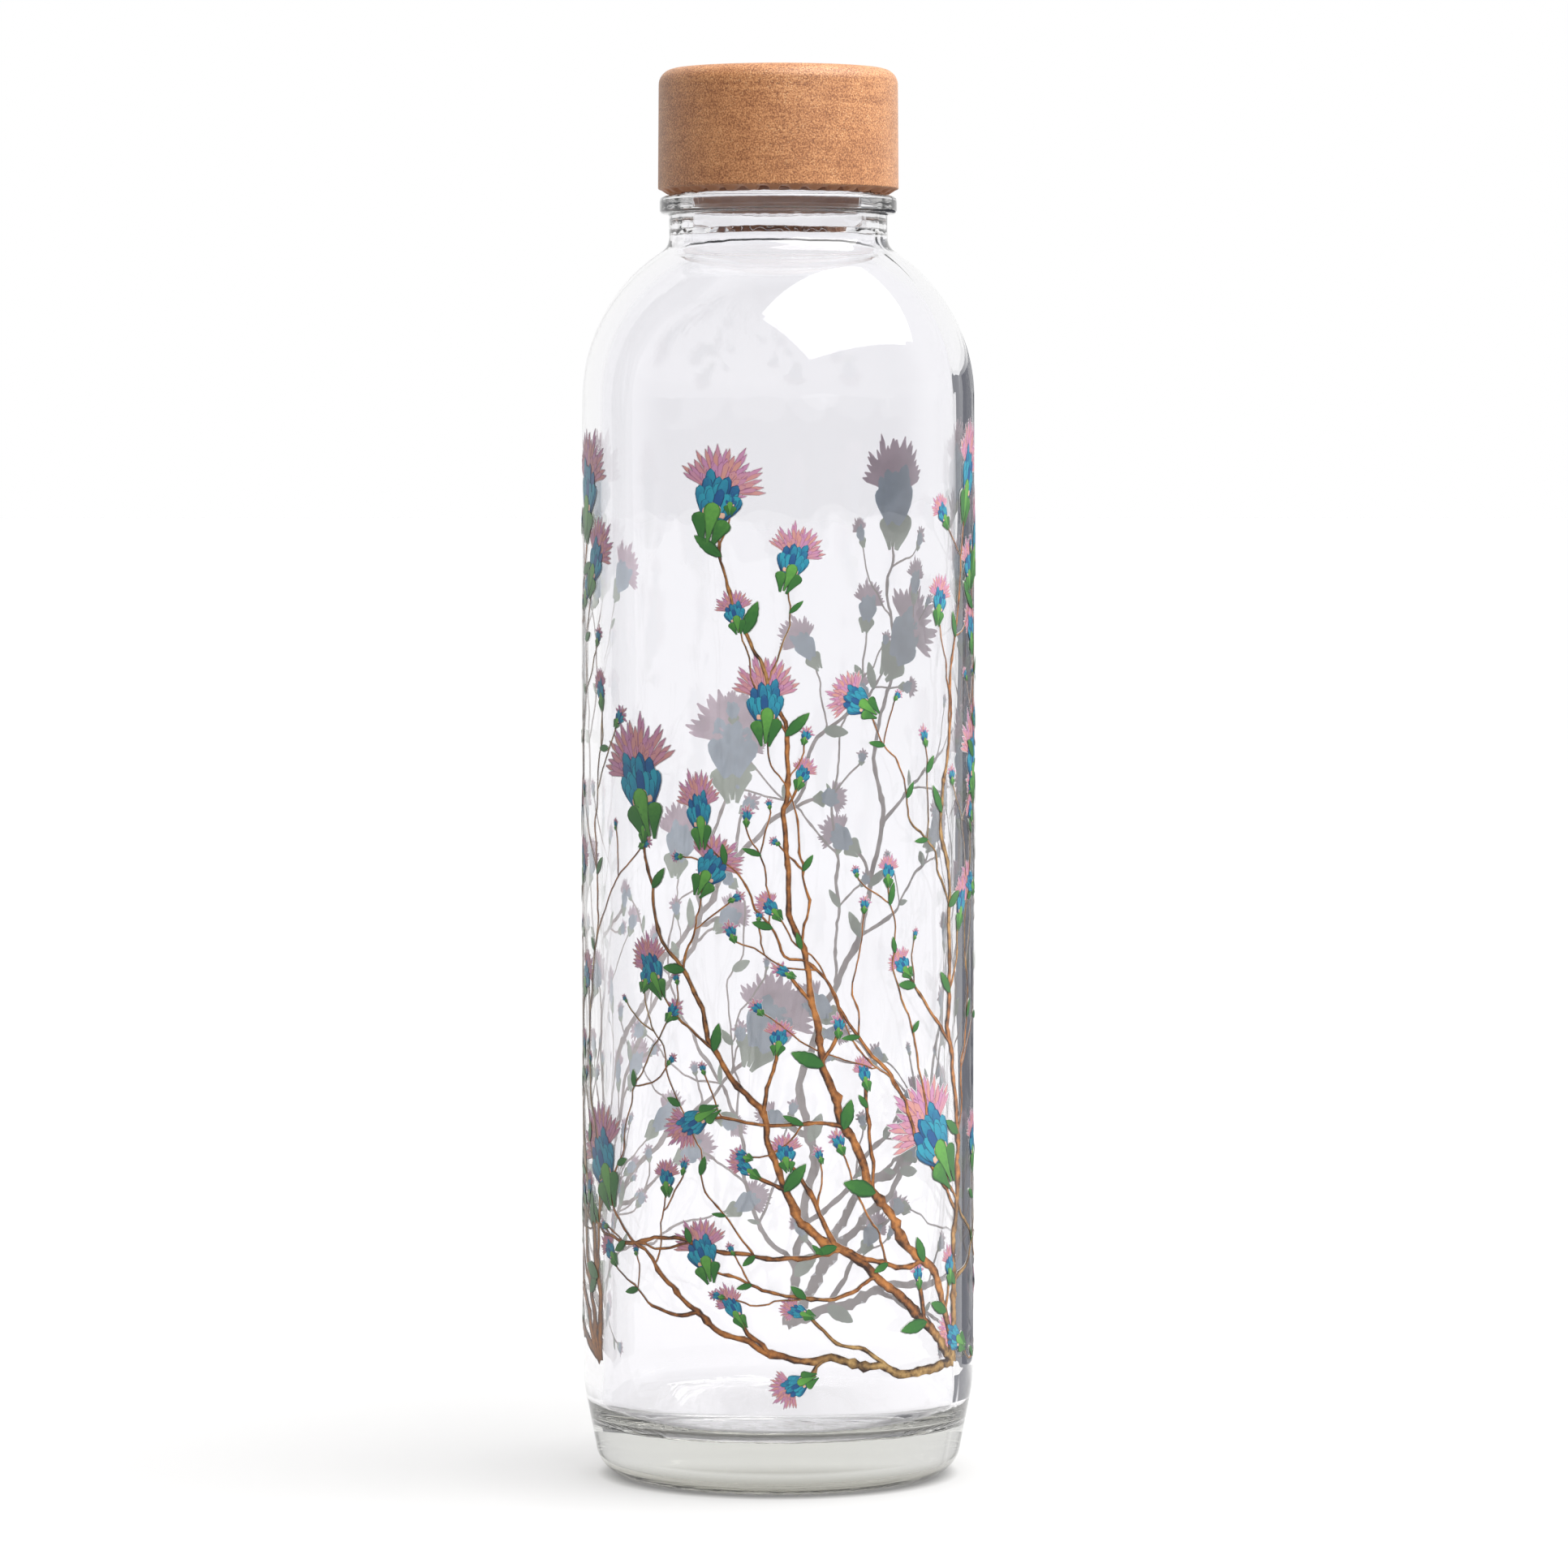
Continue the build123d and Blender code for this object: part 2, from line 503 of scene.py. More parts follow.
def coordinates(piece: bpy.types.Object) -> np.ndarray:
    """The piece's vertices as rows of x, y and z."""
    flat = np.empty(len(piece.data.vertices) * 3)
    piece.data.vertices.foreach_get("co", flat)
    return flat.reshape(-1, 3)


def set_coordinates(piece: bpy.types.Object, rows: np.ndarray) -> None:
    """Moves the piece's vertices to rows of x, y and z."""
    piece.data.vertices.foreach_set("co", rows.ravel())
    piece.data.update()


def smooth(piece: bpy.types.Object, degrees: float = 40.0) -> None:
    """Shades a piece smooth, with edges that turn more than this left sharp."""
    pick([piece])
    bpy.ops.object.shade_smooth_by_angle(angle=math.radians(degrees))


def dress(piece: bpy.types.Object, body: str, *materials: bpy.types.Material) -> bpy.types.Object:
    """Gives a piece its materials and the body that it rides on, and reports it.

    Args:
        piece: The finished piece.
        body: Name of the body.
        materials: Its materials in slot order.

    Returns:
        The same piece.
    """
    piece.data.materials.clear()
    for material in materials:
        piece.data.materials.append(material)
    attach(piece, body)
    log.info("%s: %d vertices, %d faces", piece.name, len(piece.data.vertices), len(piece.data.polygons))
    return piece


def body_grip() -> dict:
    """The record's mount for the straight part of the body, which states its radius and length."""
    return next(mount for mount in frame["record"]["mounts"] if mount["name"] == "body_grip")


@dataclass
class Outline:
    """Half section of a turned piece: points (r, z) from its first to its last."""

    points: list[Point] = field(default_factory=list)

    def line(self, r: float, z: float, steps: int = 1) -> None:
        """Draws a straight line to a point, or starts at the point.

        Args:
            r: Distance of its end from the axis.
            z: Height of its end.
            steps: How many equal parts it has.
        """
        if not self.points:
            self.points.append((r, z))
            return
        r0, z0 = self.points[-1]
        for i in range(1, steps + 1):
            self.points.append((r0 + (r - r0) * i / steps, z0 + (z - z0) * i / steps))

    def arc(self, center: Point, radius: float, start: float, end: float, steps: int) -> None:
        """Draws an arc about a center.

        Args:
            center: Its middle.
            radius: Its radius.
            start: Angle in degrees where it starts, from +r towards +z.
            end: Angle in degrees where it ends.
            steps: How many parts it has.
        """
        for i in range(steps + 1):
            angle = math.radians(start + (end - start) * i / steps)
            point = (center[0] + radius * math.cos(angle), center[1] + radius * math.sin(angle))
            if not self.points or math.dist(point, self.points[-1]) > SAME_PLACE:
                self.points.append(point)

    def corners(self, corners: Sequence[tuple[float, float, float]], steps: int = 6) -> None:
        """Draws straight lines through corners that are rounded, up to the last, which isn't.

        Args:
            corners: (r, z, radius) of each corner.
            steps: Parts of each rounding.
        """
        before = Vector(self.points[-1])
        for (r, z, radius), after in zip(corners, corners[1:]):
            corner = Vector((r, z))
            to_before = (before - corner).normalized()
            to_after = (Vector(after[:2]) - corner).normalized()
            half = to_before.angle(to_after) / 2
            middle = corner + (to_before + to_after).normalized() * (radius / math.sin(half))
            first = corner + to_before * (radius / math.tan(half)) - middle
            last = corner + to_after * (radius / math.tan(half)) - middle
            sweep = math.atan2(first.x * last.y - first.y * last.x, first.dot(last))
            start = math.atan2(first.y, first.x)
            self.arc(tuple(middle), radius, math.degrees(start), math.degrees(start + sweep), steps)
            before = corner
        self.line(*corners[-1][:2])


@dataclass
class Lathe:
    """Turns an outline about the Z axis into one closed piece."""

    steps: int
    weld: float = 0.0005 * MM

    def turn(self, name: str, outline: Outline) -> bpy.types.Object:
        """Spins an outline.

        Args:
            name: Name of the piece.
            outline: Its half section, with both ends on the axis, or both in one place for a ring.

        Returns:
            The turned piece, at the origin.
        """
        (r, z), *rest = outline.points
        deselect_all()
        bpy.ops.mesh.primitive_plane_add(size=MM, location=(r, 0, z))
        piece = bpy.context.object
        piece.name = name
        bpy.ops.object.transform_apply(location=True)
        bpy.ops.object.mode_set(mode="EDIT")
        bpy.ops.mesh.merge(type="CENTER")
        for next_r, next_z in rest:
            bpy.ops.mesh.extrude_region_move(TRANSFORM_OT_translate={"value": (next_r - r, 0, next_z - z)})
            r, z = next_r, next_z
        bpy.ops.mesh.select_all(action="SELECT")
        bpy.ops.mesh.spin(steps=self.steps, angle=FULL_TURN, center=(0, 0, 0), axis=(0, 0, 1))
        bpy.ops.mesh.select_all(action="SELECT")
        bpy.ops.mesh.remove_doubles(threshold=self.weld)
        bpy.ops.mesh.normals_make_consistent(inside=False)
        bpy.ops.object.mode_set(mode="OBJECT")
        return piece


@dataclass(frozen=True)
class Thread:
    """A screw thread that swells out of a turned wall and fades at both ends."""

    pitch: float
    start_z: float
    turns: float
    height: float
    root_width: float
    crest_width: float
    fade_turns: float = 0.09

    def rise(self, angle: np.ndarray, z: np.ndarray) -> np.ndarray:
        """How far the thread stands out of the wall.

        Args:
            angle: Angle of each point about the axis, in radians.
            z: Height of each point.

        Returns:
            The rise at each point.
        """
        first = np.mod(angle, FULL_TURN) / FULL_TURN
        best = np.zeros_like(z)
        for whole in range(math.ceil(self.turns) + 1):
            turn = first + whole
            off_middle = np.abs(z - (self.start_z + self.pitch * turn))
            flank = (self.root_width - self.crest_width) / 2
            share = np.clip((self.root_width / 2 - off_middle) / flank, 0, 1)
            ends = np.clip(np.minimum(turn, self.turns - turn) / self.fade_turns, 0, 1)
            share = share * share * (3 - 2 * share) * ends * ends * (3 - 2 * ends)
            best = np.maximum(best, share)
        return best * self.height


# ---------------------------------------------------------------------------------------------- bottle


@dataclass
class GlassBottle:
    """The glass: thick base, straight body, round shoulder, neck, transfer bead and threaded finish."""

    body_wall: float = 3.3 * MM
    heel_foot: float = 32.1 * MM
    heel_corner_z: float = 17.0 * MM
    heel_blend: float = 30.0 * MM
    foot_round: float = 6.0 * MM
    bearing_inner: float = 25.0 * MM
    push_up: float = 3.5 * MM
    floor_z: float = 10.0 * MM
    floor_crown: float = 1.0 * MM
    floor_corner: float = 5.4 * MM
    shoulder_radius: float = 31.55 * MM
    shoulder_blend: float = 3.0 * MM
    neck_radius: float = 19.7 * MM
    throat_radius: float = 16.8 * MM
    throat_z: float = 224.3 * MM
    throat_blend: float = 6.4 * MM
    step_radius: float = 16.1 * MM
    step_z: float = 225.4 * MM
    step_blend: float = 0.5 * MM
    bead_radius: float = 21.4 * MM
    bead_bottom_z: float = 228.2 * MM
    bead_top_z: float = 231.3 * MM
    bead_edge: float = 0.8 * MM
    foot_blend: float = 0.5 * MM
    finish_radius: float = 17.5 * MM
    mouth_radius: float = 15.1 * MM
    mouth_z: float = 235.0 * MM
    mouth_blend: float = 4.0 * MM
    lip_edge: float = 0.9 * MM
    knurls: int = 52
    knurl_depth: float = 0.3 * MM
    floor_ripple: float = 0.35 * MM
    wall_wave: float = 0.07 * MM
    throat_wave: float = 0.20 * MM
    seam_azimuth: float = 65.0
    seam_height: float = 0.05 * MM
    seam_half_width: float = 0.5 * MM
    skin: float = 0.1 * MM
    knurl_band: Point = (2.3 * MM, 2.8 * MM)
    finish: ClearGlass = ClearGlass("bottle_glass")
    thread: Thread = Thread(4.2 * MM, 238.6 * MM, 1.5, 1.2 * MM, 2.3 * MM, 1.1 * MM)

    def __post_init__(self) -> None:
        """Reads the main sizes from the frame."""
        _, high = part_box("glass_bottle")
        grip = body_grip()
        half_length = grip["dims"]["length_mm"] * MM / 2
        self.radius = grip["dims"]["r_mm"] * MM
        self.heel_z = grip["pos_m"][2] - half_length
        self.shoulder_z = grip["pos_m"][2] + half_length
        self.lip_z = high.z
        self.cavity_radius = self.radius - self.body_wall
        self.shoulder_center = (self.radius - self.shoulder_radius, self.shoulder_z)

    def shoulder_blend_arc(self, radius: float, wall: float, blend: float) -> tuple[Point, float]:
        """Where the shoulder's arc blends into an upright wall.

        Args:
            radius: Radius of the shoulder's arc.
            wall: Distance of the wall from the axis.
            blend: Radius of the blend.

        Returns:
            The blend's center, and the angle in degrees of the shoulder's arc where it starts.
        """
        across = wall + blend - self.shoulder_center[0]
        up = math.sqrt((radius + blend) ** 2 - across**2)
        return (wall + blend, self.shoulder_center[1] + up), math.degrees(math.atan2(up, across))

    def outside(self, outline: Outline) -> None:
        """Draws the outside from the middle of the base up to the transfer bead's top.

        Args:
            outline: The outline to go on with.
        """
        dome = (self.bearing_inner**2 + self.push_up**2) / (2 * self.push_up)
        half = math.degrees(math.asin(self.bearing_inner / dome))
        outline.arc((0, self.push_up - dome), dome, 90, 90 - half, 14)
        outline.line(self.bearing_inner + MM, 0, 2)
        outline.corners(
            [
                (self.heel_foot, 0, self.foot_round),
                (self.radius, self.heel_corner_z, self.heel_blend),
                (self.radius, self.heel_corner_z + 5 * MM, 0),
            ],
            steps=14,
        )
        outline.line(self.radius, self.shoulder_z, 22)
        blend, angle = self.shoulder_blend_arc(self.shoulder_radius, self.neck_radius, self.shoulder_blend)
        outline.arc(self.shoulder_center, self.shoulder_radius, 0, angle, 30)
        outline.arc(blend, self.shoulder_blend, 180 + angle, 180, 6)
        outline.line(self.neck_radius, self.bead_bottom_z - 2 * self.foot_blend, 3)
        outline.corners(
            [
                (self.neck_radius, self.bead_bottom_z, self.foot_blend),
                (self.bead_radius, self.bead_bottom_z, self.bead_edge),
                (self.bead_radius, self.bead_top_z, self.bead_edge),
                (self.finish_radius, self.bead_top_z, self.foot_blend),
                (self.finish_radius, self.bead_top_z + 2 * self.foot_blend, 0),
            ]
        )

    def inside(self, outline: Outline) -> None:
        """Draws the inside from the lip down to the middle of the floor.

        Args:
            outline: The outline to go on with.
        """
        inner = self.cavity_radius - self.shoulder_center[0]
        blend, angle = self.shoulder_blend_arc(inner, self.throat_radius, self.throat_blend)
        outline.line(self.mouth_radius, self.mouth_z + self.mouth_blend, 5)
        outline.corners(
            [
                (self.mouth_radius, self.mouth_z, self.mouth_blend),
                (self.step_radius, self.step_z, self.step_blend),
                (self.throat_radius, self.throat_z, self.step_blend),
                (blend[0] - self.throat_blend, blend[1], 0),
            ]
        )
        outline.arc(blend, self.throat_blend, 180, 180 + angle, 10)
        outline.arc(self.shoulder_center, inner, angle, 0, 26)
        outline.line(self.cavity_radius, self.floor_z + self.floor_corner, 34)
        floor_radius = self.cavity_radius - self.floor_corner
        corner = (floor_radius, self.floor_z + self.floor_corner)
        outline.arc(corner, self.floor_corner, 0, -90, 16)
        dome = (floor_radius**2 + self.floor_crown**2) / (2 * self.floor_crown)
        half = math.degrees(math.asin(floor_radius / dome))
        outline.arc((0, self.floor_z + self.floor_crown - dome), dome, 90 - half, 90, 28)

    def uneven(self, piece: bpy.types.Object) -> None:
        """Gives the turned glass its thread, knurls, seams, wavy inner wall and rippled floor.

        Args:
            piece: The turned glass.
        """
        rows = coordinates(piece)
        x, y, z = rows.T
        r = np.hypot(x, y)
        angle = np.arctan2(y, x)
        rise = np.zeros_like(z)
        on_finish = (z > self.bead_top_z + self.foot_blend) & (r > self.finish_radius - self.skin)
        rise += np.where(on_finish, self.thread.rise(angle, z), 0)
        inner_wall = (z > self.floor_z - MM) & (r < self.cavity_radius + MM) & (z < self.shoulder_z)
        wave = np.array([self.wall_noise(Vector(row)) for row in rows])
        rise += np.where(inner_wall & (r > self.cavity_radius / 2), wave * self.wall_wave, 0)
        seam = math.radians(self.seam_azimuth) - math.pi / 2
        off_seam = np.abs(np.mod(angle - seam + math.pi / 2, math.pi) - math.pi / 2) * r
        printed = (z > self.heel_z) & (z < self.shoulder_z)
        seam_height = np.where(printed, self.seam_height / 4, self.seam_height)
        outer = (r > self.cavity_radius + MM) | (z > self.shoulder_z) | (z < self.floor_z - MM)
        on_seam = outer & (z < self.bead_bottom_z) & (z > MM) & (r > self.neck_radius - self.skin)
        rise += np.where(on_seam & (off_seam < self.seam_half_width), seam_height, 0)
        in_throat = (r < self.throat_radius + 2 * MM) & (z < self.mouth_z)
        folded = np.clip((z - self.throat_z + 3 * MM) / (2 * MM), 0, 1) * in_throat
        sway = np.array([self.throat_noise(Vector(row)) for row in rows]) * folded * self.throat_wave
        rise += 0.5 * sway
        scale = 1 + rise / np.maximum(r, MM)
        lift = np.where(z < self.mouth_z - 3 * MM, sway, 0)
        on_floor = inner_wall & (z < self.floor_z + self.floor_corner) & (r < self.cavity_radius - 0.5 * MM)
        fade = np.clip((self.cavity_radius - r) / (5 * MM), 0, 1)
        ripple = np.array([self.floor_noise(Vector(row)) for row in rows])
        lift += np.where(on_floor, ripple * self.floor_ripple * fade, 0)
        knurl_middle, knurl_half = self.knurl_band
        off_bearing = np.abs(r - self.bearing_inner - knurl_middle) / knurl_half
        knurl = np.clip(1 - off_bearing**2, 0, 1) * (0.5 - 0.5 * np.cos(self.knurls * angle))
        lift += np.where(z < 2.5 * MM, knurl * self.knurl_depth, 0)
        set_coordinates(piece, np.column_stack([x * scale, y * scale, z + lift]))

    @staticmethod
    def wall_noise(place: Vector) -> float:
        """Long upright waves of a blown inner wall."""
        stretched = Vector((place.x * 95, place.y * 95, place.z * 28))
        return noise.noise(stretched) + 0.4 * noise.noise(stretched * 2.3)

    @staticmethod
    def throat_noise(place: Vector) -> float:
        """Short upright folds inside the neck."""
        folded = Vector((place.x * 260, place.y * 260, place.z * 60))
        return noise.noise(folded) + 0.6 * noise.noise(folded * 2.6)

    @staticmethod
    def floor_noise(place: Vector) -> float:
        """Swirls of a pressed floor."""
        swirl = Vector((place.x * 210, place.y * 210, 0.3))
        swirl += Vector((noise.noise(swirl * 0.5), noise.noise(swirl * 0.5 + Vector((5, 1, 2))), 0)) * 1.6
        rings = math.sin(math.hypot(place.x, place.y) * 900 + 4 * noise.noise(swirl * 0.4))
        broad, fine = 0.22 * noise.noise(swirl * 0.5), 0.22 * noise.noise(swirl * 2.3)
        return broad + 0.3 * noise.noise(swirl) + fine + 0.04 * rings

    def build(self) -> bpy.types.Object:
        """Builds and dresses the glass.

        Returns:
            The bottle's glass.
        """
        outline = Outline()
        self.outside(outline)
        outline.line(self.finish_radius, self.lip_z - 2 * self.lip_edge, 84)
        outline.corners(
            [
                (self.finish_radius, self.lip_z, self.lip_edge),
                (self.mouth_radius, self.lip_z, self.lip_edge),
                (self.mouth_radius, self.lip_z - 2 * self.lip_edge, 0),
            ]
        )
        self.inside(outline)
        piece = Lathe(self.knurls * (5)).turn("bottle_clear_glass", outline)
        self.uneven(piece)
        smooth(piece, 60)
        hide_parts("glass_bottle")
        return dress(piece, "bottle", self.finish.material())


# ------------------------------------------------------------------------------------------------- cap


@dataclass
class ScrewCap:
    """The cap: a composite shell, a threaded insert with a castellated rim, and a seal ring."""

    top_edge: float = 2.8 * MM
    top_draft: float = 0.15 * MM
    rim_edge: float = 0.3 * MM
    insert_radius: float = 20.05 * MM
    insert_fit: float = 0.05 * MM
    bore_radius: float = 18.95 * MM
    rim_tip_radius: float = 20.0 * MM
    rim_teeth: int = 33
    tooth_depth: float = 0.75 * MM
    seal_width: float = 4.3 * MM
    seal_edge: float = 0.2 * MM
    retainer_radius: float = 18.4 * MM
    retainer_height: float = 0.6 * MM
    retainer_gap: float = 0.3 * MM
    shell_finish: WoodComposite = WoodComposite("wood_composite")
    insert_finish: MouldedPlastic = MouldedPlastic(
        "insert_plastic", base=(0.55, 0.25, 0.125), deep=(0.42, 0.17, 0.075)
    )
    seal_finish: MouldedPlastic = MouldedPlastic(
        "seal_silicone", base=(0.80, 0.79, 0.75), deep=(0.74, 0.73, 0.69), scatter=0.3
    )
    thread: Thread = Thread(4.2 * MM, 236.9 * MM, 1.75, -1.2 * MM, 1.7 * MM, 0.8 * MM)

    def __post_init__(self) -> None:
        """Reads the main sizes from the frame."""
        shell_low, shell_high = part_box("cap_shell")
        rim_low, rim_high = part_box("cap_thread_insert")
        seal_low, seal_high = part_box("seal_ring")
        self.bottom_radius = shell_high.x
        self.bottom_z, self.top_z = shell_low.z, shell_high.z
        self.rim_radius, self.rim_z = rim_high.x, rim_low.z
        self.ceiling_z = rim_high.z
        self.seal_z, self.seal_top_z = seal_low.z, seal_high.z
        self.seal_radius = seal_high.x
        self.seal_hole = self.seal_radius - self.seal_width

    def shell(self) -> bpy.types.Object:
        """The cup of wood-fibre composite."""
        inner = self.insert_radius + self.insert_fit
        top_radius = self.bottom_radius - self.top_draft
        outline = Outline()
        outline.line(0, self.top_z)
        outline.line(top_radius - 2 * self.top_edge, self.top_z, 10)
        outline.corners(
            [
                (top_radius, self.top_z, self.top_edge),
                (self.bottom_radius, self.bottom_z, self.rim_edge),
                (inner, self.bottom_z, self.rim_edge / 2),
                (inner, self.ceiling_z, self.rim_edge),
                (0, self.ceiling_z, 0),
            ],
            steps=9,
        )
        piece = Lathe(192).turn("cap_composite_shell", outline)
        smooth(piece)
        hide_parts("cap_shell")
        return dress(piece, "cap", self.shell_finish.material())

    def insert(self) -> bpy.types.Object:
        """The threaded liner cup, whose castellated rim shows under the shell."""
        ledge_top = self.seal_z - self.retainer_gap
        ledge_bottom = ledge_top - self.retainer_height
        outline = Outline()
        outline.line(0, self.ceiling_z)
        outline.line(self.insert_radius, self.ceiling_z, 2)
        outline.line(self.insert_radius, self.bottom_z, 4)
        outline.line(self.rim_radius, self.bottom_z)
        outline.line(self.rim_tip_radius, self.rim_z, 4)
        outline.line(self.bore_radius, self.rim_z, 2)
        outline.line(self.bore_radius, ledge_bottom - self.retainer_height, 84)
        outline.line(self.retainer_radius, ledge_bottom, 2)
        outline.line(self.retainer_radius, ledge_top, 2)
        outline.line(self.bore_radius, ledge_top)
        outline.line(self.bore_radius, self.seal_top_z, 2)
        outline.line(0, self.seal_top_z, 2)
        piece = Lathe(self.rim_teeth * 8).turn("cap_screw_insert", outline)
        rows = coordinates(piece)
        x, y, z = rows.T
        r = np.hypot(x, y)
        angle = np.arctan2(y, x)
        on_bore = np.abs(r - self.bore_radius) < 0.05 * MM
        on_bore &= (z > self.rim_z + self.tooth_depth) & (z < ledge_bottom - self.retainer_height)
        rise = np.where(on_bore, self.thread.rise(angle, z), 0)
        wave = np.cos(self.rim_teeth * angle + 0.35 * np.sin(5 * angle))
        gap = np.clip(wave * 1.6 + 0.35, 0, 1)
        depth = np.clip((self.bottom_z - z) / (self.bottom_z - self.rim_z), 0, 1)
        uneven = 0.85 + 0.15 * np.sin(7 * angle + 1)
        lift = np.where(z < self.bottom_z - 0.01 * MM, gap * depth * self.tooth_depth * uneven, 0)
        scale = 1 + rise / np.maximum(r, MM)
        set_coordinates(piece, np.column_stack([x * scale, y * scale, z + lift]))
        smooth(piece, 35)
        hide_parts("cap_thread_insert")
        return dress(piece, "cap", self.insert_finish.material())

    def seal(self) -> bpy.types.Object:
        """The flat silicone ring on the lip."""
        middle = (self.seal_hole + self.seal_radius) / 2
        outline = Outline()
        outline.line(middle, self.seal_top_z)
        outline.corners(
            [
                (self.seal_radius, self.seal_top_z, self.seal_edge),
                (self.seal_radius, self.seal_z, self.seal_edge),
                (self.seal_hole, self.seal_z, self.seal_edge),
                (self.seal_hole, self.seal_top_z, self.seal_edge),
                (middle, self.seal_top_z, 0),
            ],
            steps=4,
        )
        piece = Lathe(160).turn("silicone_seal_ring", outline)
        smooth(piece)
        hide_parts("seal_ring")
        return dress(piece, "seal", self.seal_finish.material())

    def build(self) -> list[bpy.types.Object]:
        """Builds and dresses the cap's three pieces."""
        return [self.shell(), self.insert(), self.seal()]


# ----------------------------------------------------------------------------------------------- print


@dataclass
class Shoot:
    """One twig of the printed plants, in the unrolled plane of the glass."""

    path: list[Vector]
    widths: list[float]


@dataclass
class Mark:
    """A leaf or a blossom: where it sits, which way it points in radians from upright, and its size."""

    place: Vector
    heading: float
    size: float
    kind: str


@dataclass
class PlantGrower:
    """Grows the printed plants by chance, within the printed band of the glass."""

    around: float
    low: float
    high: float
    seed: int = 77
    step: float = 1.1 * MM
    spacing: float = 2.6 * MM
    thinnest: float = 0.12 * MM
    kink_chance: float = 0.17
    kink_angle: float = 0.32
    knot_chance: float = 0.08
    leaf_chance: float = 0.6
    tip_sizes: tuple[Point, ...] = ((8.5, 11.5), (4.0, 8.5), (2.0, 3.6), (1.6, 2.4))
    fork_spacing: tuple[int, ...] = (12, 10, 11)
    fork_chances: tuple[float, ...] = (0.92, 0.75, 0.4)
    shoots: list[Shoot] = field(default_factory=list)
    marks: list[Mark] = field(default_factory=list)

    def __post_init__(self) -> None:
        """Starts the chance."""
        self.chance = random.Random(self.seed)
        self.taken: dict[tuple[int, int], list[tuple[Vector, int]]] = {}

    def cell(self, place: Vector) -> tuple[int, int]:
        """The square of the plane that a place is in, for finding its neighbours."""
        cells_around = round(self.around / self.spacing)
        return round(place.x / self.around * cells_around) % cells_around, round(place.y / self.spacing)

    def crowded(self, place: Vector, family: int) -> bool:
        """True if a shoot of another family passes close to a place."""
        column, row = self.cell(place)
        cells_around = round(self.around / self.spacing)
        for i in (-1, 0, 1):
            for j in (-1, 0, 1):
                for other, owner in self.taken.get(((column + i) % cells_around, row + j), ()):
                    if owner != family and (other - place).length < self.spacing:
                        return True
        return False

    def grow(
        self, start: Vector, heading: float, length: float, width: float, rank: int, family: int
    ) -> None:
        """Grows one shoot, then its side shoots, leaves and blossom.

        Args:
            start: Where it leaves its parent.
            heading: Its direction in radians from upright, positive to the right.
            length: Its length.
            width: Half its width at the start.
            rank: 0 for a stem, and one more for each fork.
            family: Number of the shoot, so that it isn't crowded by its own parent.
        """
        chance = self.chance
        count = max(4, round(length / self.step))
        aim = heading
        path, widths = [start.copy()], [width]
        own = len(self.shoots) + 1
        for i in range(1, count + 1):
            share = i / count
            aim = aim * (1 - 0.55 / count) + chance.gauss(0, 0.04)
            kink = chance.choice((-1, 1)) * self.kink_angle if chance.random() < self.kink_chance else 0.0
            heading += (aim - heading) * 0.3 + chance.gauss(0, 0.09) + kink
            place = path[-1] + Vector((math.sin(heading), math.cos(heading))) * self.step
            if not self.low < place.y < self.high or (i > 6 and rank and self.crowded(place, family)):
                break
            path.append(place)
            knotted = chance.random() < self.knot_chance
            knot = chance.uniform(1.25, 1.6) if knotted else chance.uniform(0.76, 1.1)
            widths.append(max(self.thinnest, width * (1 - 0.78 * share) * knot))
        if len(path) < 5:
            return
        self.shoots.append(Shoot(path, widths))
        for place in path:
            self.taken.setdefault(self.cell(place), []).append((place, own))
        self.dress_tip(path[-1], heading, rank, len(path) * self.step)
        self.fork(path, widths, rank, own)

    def dress_tip(self, tip: Vector, heading: float, rank: int, length: float) -> None:
        """Puts a blossom or a bud on a shoot's tip.

        Args:
            tip: The tip.
            heading: Its direction.
            rank: The shoot's rank.
            length: The shoot's length.
        """
        chance = self.chance
        size = chance.uniform(*self.tip_sizes[min(rank, 3)]) * MM * min(1.0, 0.45 + length / (60 * MM))
        kind = "blossom" if size > 3.0 * MM else "bud"
        self.marks.append(Mark(tip, heading + chance.uniform(-0.35, 0.35), size, kind))

    def fork(self, path: list[Vector], widths: list[float], rank: int, own: int) -> None:
        """Grows the side shoots and leaves of a shoot.

        Args:
            path: The shoot's points.
            widths: Its half widths.
            rank: Its rank.
            own: Its number.
        """
        chance = self.chance
        side = chance.choice((-1, 1))
        every = self.fork_spacing[min(rank, 2)]
        at = every + chance.randint(-3, 4)
        while at < len(path) - 3:
            along = path[at] - path[at - 1]
            heading = math.atan2(along.x, along.y)
            left = (len(path) - at) * self.step
            if rank < 3 and chance.random() < self.fork_chances[min(rank, 2)]:
                length = max(9 * MM, left * chance.uniform(0.45, 0.85))
                turn = side * chance.uniform(0.45, 0.85)
                self.grow(path[at], heading + turn, length, widths[at] * 0.55, rank + 1, own)
            if chance.random() < self.leaf_chance:
                size = chance.uniform(1.5, 2.5) * MM * (1.3 if rank == 0 else 0.85)
                self.marks.append(Mark(path[at], heading - side * chance.uniform(0.5, 1.0), size, "leaf"))
            side = -side
            at += every + chance.randint(-3, 4)


